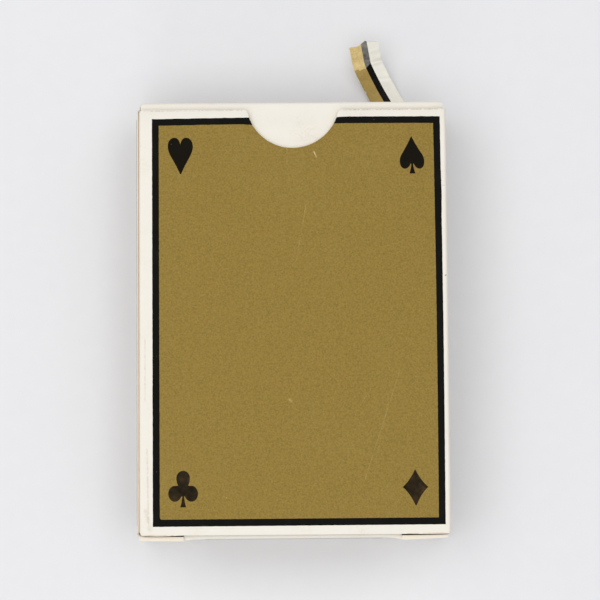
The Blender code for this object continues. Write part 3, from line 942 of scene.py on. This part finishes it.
def front_print():
    signs = ((-1, -1), (1, -1), (1, 1), (-1, 1))
    lapped = [(x + FIELD_LAP * i, y + FIELD_LAP * j) for (x, y), (i, j) in zip(FIELD, signs)]
    gold = ink("front_gold_field", "front", [ragged(field_outline(lapped), 0.02, 3.0)], GOLD,
               GOLD_LIFT)
    stands_for(gold, "case", "gold_ink")
    # Round the black: the notch's right side, the outer line, its left side, then the field.
    cut, wide_cut = notch_arc(FIELD), notch_arc(BORDER)
    right_cut = [p for p in wide_cut if p[0] > cut[-1][0]]
    left_cut = [p for p in wide_cut if p[0] < cut[0][0]]
    outer = [(x + BULGE if BULGE_FROM < y < BULGE_TO else x, y) for x, y in bowed(*BORDER[1:3])]
    outline = right_cut + top_run(BORDER, right_cut[-1][0], BORDER[2][0])[1:]
    outline += outer[::-1] + [BORDER[0], BORDER[3]]
    outline += top_run(BORDER, BORDER[3][0], left_cut[0][0])[1:] + left_cut
    field = field_outline(FIELD)
    notch_start = field.index(cut[-1])
    outline += field[notch_start + len(cut) - 1:] + field[:notch_start + 1]
    border = ink("front_border", "front", [ragged(outline, 0.05, 7.0)], BLACK, BLACK_LIFT)
    stands_for(border, "case", None)


def curve_points(start, *steps, count=12):
    """Points from start along cubic steps (handle, handle, end) and straight ones (end,)."""
    made = []
    for step in steps:
        if len(step) == 1:
            made.append(start)
        else:
            p0, p1, p2, p3 = (Vector(p) for p in (start, *step))
            for i in range(count):
                t = i / count
                u = 1 - t
                point = p0 * u**3 + p1 * 3 * u * u * t + p2 * 3 * u * t * t + p3 * t**3
                made.append((point.x, point.y))
        start = step[-1]
    return made + [start]


HEART = (
    (0.0, 0.63),
    ((0.07, 0.84), (0.2, 1.0), (0.46, 1.0)),
    ((0.78, 1.0), (1.0, 0.8), (1.0, 0.52)),
    ((1.0, 0.28), (0.84, 0.06), (0.62, -0.2)),
    ((0.42, -0.44), (0.2, -0.74), (0.06, -0.96)),
    ((0.04, -0.99), (0.02, -1.0), (0.0, -1.0)),
)
SPADE = (
    (0.0, 1.0),
    ((0.14, 0.78), (0.42, 0.46), (0.64, 0.22)),
    ((0.86, 0.0), (1.0, -0.14), (1.0, -0.34)),
    ((1.0, -0.58), (0.84, -0.745), (0.6, -0.745)),
    ((0.38, -0.745), (0.2, -0.62), (0.12, -0.47)),
    ((0.07, -0.5),),
    ((0.1, -0.7), (0.17, -0.86), (0.25, -1.0)),
)
CLUB = (
    (0.0, 1.0),
    ((0.26, 1.0), (0.457, 0.82), (0.457, 0.58)),
    ((0.457, 0.42), (0.4, 0.3), (0.34, 0.2)),
    ((0.4, 0.17), (0.48, 0.18), (0.56, 0.18)),
    ((0.8, 0.18), (1.0, -0.02), (1.0, -0.25)),
    ((1.0, -0.5), (0.8, -0.69), (0.56, -0.69)),
    ((0.36, -0.69), (0.2, -0.56), (0.12, -0.41)),
    ((0.06, -0.4),),
    ((0.09, -0.66), (0.14, -0.85), (0.2, -1.0)),
)
DIAMOND = (
    (0.0, 1.0),
    ((0.26, 0.6), (0.62, 0.26), (1.0, 0.02)),
    ((0.62, -0.2), (0.28, -0.58), (0.04, -0.98)),
)


def pip(name, half_outline, box, lean, finish):
    """A suit sign from its right half, in box (x0, y0, x1, y1), leaning by degrees."""
    right = curve_points(*half_outline)
    unit = right + [(-x, y) for x, y in reversed(right) if x > 1e-6]
    x0, y0, x1, y1 = box
    slant = math.tan(math.radians(lean))
    points = []
    for u, v in unit:
        y = (y0 + y1) / 2 + v * (y1 - y0) / 2
        x = (x0 + x1) / 2 + u * (x1 - x0) / 2 - slant * v * (y1 - y0) / 2
        points.append((x, y))
    piece = ink(name, "front", [points], finish, PIP_LIFT)
    stands_for(piece, "case", None)


def framed_print(name, face, body, frame_box, width, cut=None):
    """A plain gold field in a black border, with a corner torn away where cut says."""
    x0, y0, x1, y1 = frame_box
    outer = [(x0, y0), (x1, y0), (x1, y1), (x0, y1)]
    i0, j0, i1, j1 = x0 + width, y0 + width, x1 - width, y1 - width
    lap = FIELD_LAP
    field = [(i0 - lap, j0 - lap), (i1 + lap, j0 - lap)]
    if cut:
        cx, cy = cut
        field += [(i1 + lap, cy), (cx, cy), (cx, j1 + lap), (i0 - lap, j1 + lap)]
        ring = [(cx, y1), (x0, y1), (x0, y0), (x1, y0), (x1, cy), (i1, cy), (i1, j0),
                (i0, j0), (i0, j1), (cx, j1)]
        rings = [ragged(ring, 0.06, 11.0)]
    else:
        field += [(i1 + lap, j1 + lap), (i0 - lap, j1 + lap)]
        inner = [(i0, j0), (i1, j0), (i1, j1), (i0, j1)]
        rings = []
        for k in range(4):
            n = (k + 1) % 4
            rings.append(ragged([outer[k], outer[n], inner[n], inner[k]], 0.0, 0.0))
    gold = ink(name + "_gold", face, [ragged(field, 0.02, 5.0)], PLAIN_GOLD, GOLD_LIFT)
    stands_for(gold, body, "gold_ink")
    stands_for(ink(name + "_border", face, rings, BLACK, BLACK_LIFT), body, None)


def prints():
    front_print()
    pip("heart_pip", HEART, (-26.44, 31.36, -21.06, 39.29), 0.5, PIP)
    pip("spade_pip", SPADE, (23.25, 31.21, 28.51, 39.38), 1.4, PIP)
    pip("club_pip", CLUB, (-26.51, -39.77, -20.21, -32.05), 0.0, WORN_PIP)
    pip("diamond_pip", DIAMOND, (23.12, -39.78, 28.54, -32.02), 1.0, WORN_PIP)
    framed_print("back_print", "back", "case", (-31.0, -43.6, 31.0, 43.6), 1.4,
                 (SCAR_X - 0.45, SCAR_Y - 0.45))
    framed_print("left_print", "left", "case", (2.4, -43.6, 15.6, 43.6), 1.0)
    framed_print("right_print", "right", "case", (5.2, -43.6, 15.9, 43.6), 1.0)
    framed_print("lid_print", "lid", "lid", (-30.2, 3.4, 30.2, 12.6), 1.0)
    framed_print("bottom_print", "bottom", "base", (-19.0, 3.4, 19.0, 12.6), 1.0)


# ---- the torn strip
STRIP_WIDTH, STRIP_PLY, STRIP_LENGTH = 6.5, 0.16, 26.4
STRIP_FOOT = 24.55  # x of its left edge at its root
STRIP_ROOT = 6.6  # it is still joined this far short of the back's end
STRIP_LIE = 0.05  # its lowest points lie this high
STRIP_HEADING = (35.0, 28.0, 13.0)  # at its root, below its sharp crease and at its tip
STRIP_CREASE = 0.77  # the share of its length where it is sharply creased
STRIP_CURL = 42.0  # degrees it has risen to at its tip, at the most
GOLD_SHARE, BLACK_SHARE = 0.405, 0.615  # where the gold and the black end across it
PAINTED_HIGHLIGHT_STEP = 4  # the gold and black with a painted highlight past the crease come this many finishes after the plain ones


def strip_line(steps=120):
    """Points and headings of the strip's middle line, by equal distances."""
    root, below, tip = STRIP_HEADING
    lean = math.radians(root)
    x = STRIP_FOOT + STRIP_WIDTH / 2 * math.cos(lean)
    y = BACK_END - STRIP_ROOT + STRIP_WIDTH / 2 * math.sin(lean)
    z = STRIP_LIE
    ds = STRIP_LENGTH / steps
    line = []
    for i in range(steps + 1):
        t = i / steps
        heading = root + (below - root) * min(1.0, t / STRIP_CREASE)
        heading += (tip - below) * ease((t - STRIP_CREASE + 0.05) / 0.1)
        heading = math.radians(heading)
        line.append((Vector((x, y, z)), heading))
        past_edge = max(0.0, (y - END) / (0.5 * STRIP_LENGTH))
        rise = math.radians(STRIP_CURL * min(1.0, past_edge))
        x -= ds * math.sin(heading) * math.cos(rise)
        y += ds * math.cos(heading) * math.cos(rise)
        z += ds * math.sin(rise)
    return line


def torn_strip():
    line = strip_line()
    shares = spread(0.0, GOLD_SHARE, 8) + spread(GOLD_SHARE, BLACK_SHARE, 4)[1:]
    shares += spread(BLACK_SHARE, 1.0, 8)[1:]
    rows = 90

    def end_trim(u):
        """How much of the length is left at share u of the width: the end is ragged."""
        knots = ((0.0, 0.962), (0.08, 0.968), (0.22, 0.96), (0.37, 0.966), (0.4, 0.975),
                 (0.57, 1.0), (0.6, 0.988), (0.8, 0.975), (1.0, 0.958))
        for (u0, v0), (u1, v1) in zip(knots, knots[1:]):
            if u <= u1:
                ragged_end = 0.004 * noise.noise(Vector((u * 23, 2.0, 0)))
                return v0 + (v1 - v0) * (u - u0) / (u1 - u0) + ragged_end
        return knots[-1][1]

    def place_at(u, t):
        t = min(1.0, t * end_trim(u))
        at = t * (len(line) - 1)
        i = min(int(at), len(line) - 2)
        f = at - i
        middle = line[i][0].lerp(line[i + 1][0], f)
        heading = line[i][1] + (line[i + 1][1] - line[i][1]) * f
        side = Vector((math.cos(heading), math.sin(heading), 0.0))
        edge = 0.06 * noise.noise(Vector((t * 30, 9.0 * round(u), 1.0)))
        if u == 0.0:
            edge += 0.22 * math.exp(-(((t - 0.56) / 0.008) ** 2))
        place = middle + side * ((u - 0.5) * STRIP_WIDTH + (edge if u in (0.0, 1.0) else 0.0))
        free = max(0.0, min(1.0, (t - 0.36) / 0.2))
        wave = 0.05 * noise.noise(place * 0.45) + 0.03 * noise.noise(place * 1.1)
        crease_a = 0.16 * math.exp(-(((t - 0.785 + 0.05 * u) / 0.012) ** 2))
        crease_b = 0.09 * math.exp(-(((t - 0.68 + 0.12 * u) / 0.008) ** 2))
        crease_c = 0.12 * math.exp(-(((t - 0.86 - 0.03 * u) / 0.015) ** 2))
        cup = 0.12 * (2 * u - 1) ** 2
        place.z += free * (wave + crease_a - crease_b + crease_c + cup)
        place.z = max(place.z, STRIP_LIE)
        return place

    bm = bmesh.new()
    grid = [[place_at(u, i / rows) for u in shares] for i in range(rows + 1)]
    top, low = [], []
    for i, row in enumerate(grid):
        top.append([])
        low.append([])
        for j, place in enumerate(row):
            ahead = grid[min(i + 1, rows)][j] - grid[max(i - 1, 0)][j]
            beside = row[min(j + 1, len(row) - 1)] - row[max(j - 1, 0)]
            normal = beside.cross(ahead).normalized()
            fray = 1.0 + 0.35 * noise.noise(place * 2.2)
            top[-1].append(bm.verts.new((place + normal * STRIP_PLY * 0.8) * MM))
            low[-1].append(bm.verts.new((place - normal * 0.02 * fray) * MM))
    for i in range(rows):
        for j in range(len(shares) - 1):
            middle = (shares[j] + shares[j + 1]) / 2
            slot = 0 if middle < GOLD_SHARE else 1 if middle < BLACK_SHARE else 2
            # Past the crease the gold and black faces take the lit copies: a painted highlight,
            # and a painted sheen on the black.
            if i / rows > STRIP_CREASE + 0.015 - 0.05 * middle and slot < 2:
                slot += PAINTED_HIGHLIGHT_STEP
            face = bm.faces.new((top[i][j], top[i][j + 1], top[i + 1][j + 1], top[i + 1][j]))
            face.material_index = slot
            under = (low[i][j], low[i + 1][j], low[i + 1][j + 1], low[i][j + 1])
            bm.faces.new(under).material_index = 3
    pairs = dict(zip([v for row in top for v in row], [v for row in low for v in row]))
    for edge in [e for e in bm.edges if len(e.link_faces) == 1 and e.verts[0] in pairs]:
        p, q = edge.verts
        bm.faces.new((p, q, pairs[q], pairs[p])).material_index = 3
    bmesh.ops.recalc_face_normals(bm, faces=bm.faces)
    piece = new_piece("torn_ply_strip", bm, STRIP_FINISHES, 60)
    stands_for(piece, "case", "gold_ink", "torn_strip")
    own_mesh(piece)


def strip_finishes():
    """Gold, black, coating and pulp, then the gold and black with a painted highlight past the
    crease.
    """
    return (
        gold_ink("strip_gold", STRIP_TONES, 0.2),
        black_ink("strip_black", (22, 22, 21), (90, 88, 84), 0.5),
        # The strip's coating is painted paler than the box's own coating: painted light that
        # lifts the shade the box casts on the raised strip.
        fibrous("strip_coating_painted_light", (250, 248, 238), 0.4, 1300.0, (244, 242, 230), 0.5, 0.3, 0.015),
        TORN,
        gold_ink("strip_gold_painted_highlight", PAINTED_HIGHLIGHT_TONES, 0.0),
        black_ink("strip_black_painted_highlight", (70, 68, 66), (196, 194, 188), 1.0, 0.5),
    )


STRIP_FINISHES = strip_finishes()


# ---- the cards
def card_outline(low, high, corner=3.4, steps=6):
    points = []
    for cx, cy, start in (
        (high.x - corner, high.y - corner, 0),
        (low.x + corner, high.y - corner, 90),
        (low.x + corner, low.y + corner, 180),
        (high.x - corner, low.y + corner, 270),
    ):
        for i in range(steps + 1):
            a = math.radians(start + 90 * i / steps)
            points.append((cx + corner * math.cos(a), cy + corner * math.sin(a)))
    return points


def cards(node, count, draw):
    """A packet of count thin cards in node's place, each a little out of line."""
    low, high = extent(node)
    outline = card_outline(low, high)
    pitch = (high.z - low.z) / count
    bm = bmesh.new()
    for k in range(count):
        dx, dy = draw.uniform(-0.12, 0.12), draw.uniform(-0.14, 0.14)
        turn = draw.uniform(-0.0012, 0.0012)
        z0, z1 = low.z + k * pitch + 0.006, low.z + (k + 1) * pitch - 0.006
        rings = []
        for z, inset in ((z0, 0.03), (z0 + 0.03, 0.0), (z1 - 0.03, 0.0), (z1, 0.03)):
            ring = []
            for x, y in outline:
                toward = Vector((x, y)).normalized() * inset
                px, py = x - toward.x, y - toward.y
                place = Vector((px - py * turn + dx, py + px * turn + dy, z))
                ring.append(bm.verts.new(place * MM))
            rings.append(ring)
        for a, b in zip(rings, rings[1:]):
            for i in range(len(outline)):
                j = (i + 1) % len(outline)
                bm.faces.new((a[i], a[j], b[j], b[i])).material_index = 1
        bm.faces.new(rings[-1]).material_index = 0
        bm.faces.new(list(reversed(rings[0]))).material_index = 0
    bmesh.ops.recalc_face_normals(bm, faces=bm.faces)
    piece = new_piece(node + "_stack", bm, (CARD_FACE, CARD_EDGE), 50)
    stands_for(piece, "deck", "card_stock", node)


def deck():
    draw = random.Random(54)
    for node in ("heart_cards", "club_cards", "diamond_cards", "spade_cards"):
        cards(node, 13, draw)
    for node in ("joker_card_1", "joker_card_2"):
        cards(node, 1, draw)


# ---- build
glue_flap()
glue_line()
front_panel()
side_and_back()
left_side()
lid()
base()
for closure, way in (("top", 1), ("bottom", -1)):
    dust_flap(closure + "_left_dust", -1, way)
    dust_flap(closure + "_right_dust", 1, way)
prints()
torn_strip()
deck()


# ---- table, light and camera
def table_top():
    """A pale, flat, faintly cloudy table."""
    finish = fibrous("pale_table", (229, 229, 231), 0.75, 260.0, (225, 225, 228), 0.6, 0.05, 0.05,
                     0.2)
    bm = bmesh.new()
    bmesh.ops.create_grid(bm, x_segments=8, y_segments=8, size=6.0)
    piece = new_piece("table_top", bm, (finish,))
    piece.location.z = cad_low[2] - 0.00002


def soft_light(name, place, aim, size, power, colour=(1.0, 1.0, 1.0)):
    data = bpy.data.lights.new(name, "AREA")
    data.shape = "SQUARE"
    data.size = size
    data.energy = power
    data.color = colour
    lamp = bpy.data.objects.new(name, data)
    bpy.context.scene.collection.objects.link(lamp)
    lamp.location = place
    lamp.rotation_euler = (Vector(aim) - Vector(place)).to_track_quat("-Z", "Y").to_euler()


def light_and_camera():
    world = bpy.data.worlds.new("soft_room")
    bpy.context.scene.world = world
    world.use_nodes = True
    sky = world.node_tree.nodes["Background"].inputs
    sky["Color"].default_value = (0.97, 0.98, 1.0, 1.0)
    sky["Strength"].default_value = 0.5
    soft_light("window_light", (-0.14, 0.02, 1.0), (0, 0, 0), 1.5, 9.7, (1.0, 0.99, 0.98))
    soft_light("low_light", (-0.15, -1.0, 0.42), (0, 0, 0.01), 0.35, 1.2)
    bpy.context.scene.view_settings.view_transform = "Standard"
    data = bpy.data.cameras.new("camera")
    data.lens = 147.0
    data.sensor_width = 36.0
    data.clip_start = 0.01
    camera = bpy.data.objects.new("camera", data)
    bpy.context.scene.collection.objects.link(camera)
    camera.location = (-0.00070, -0.04755, 0.5379)
    camera.rotation_euler = (0.0991, -0.0038, -0.0075)
    bpy.context.scene.camera = camera


table_top()
light_and_camera()
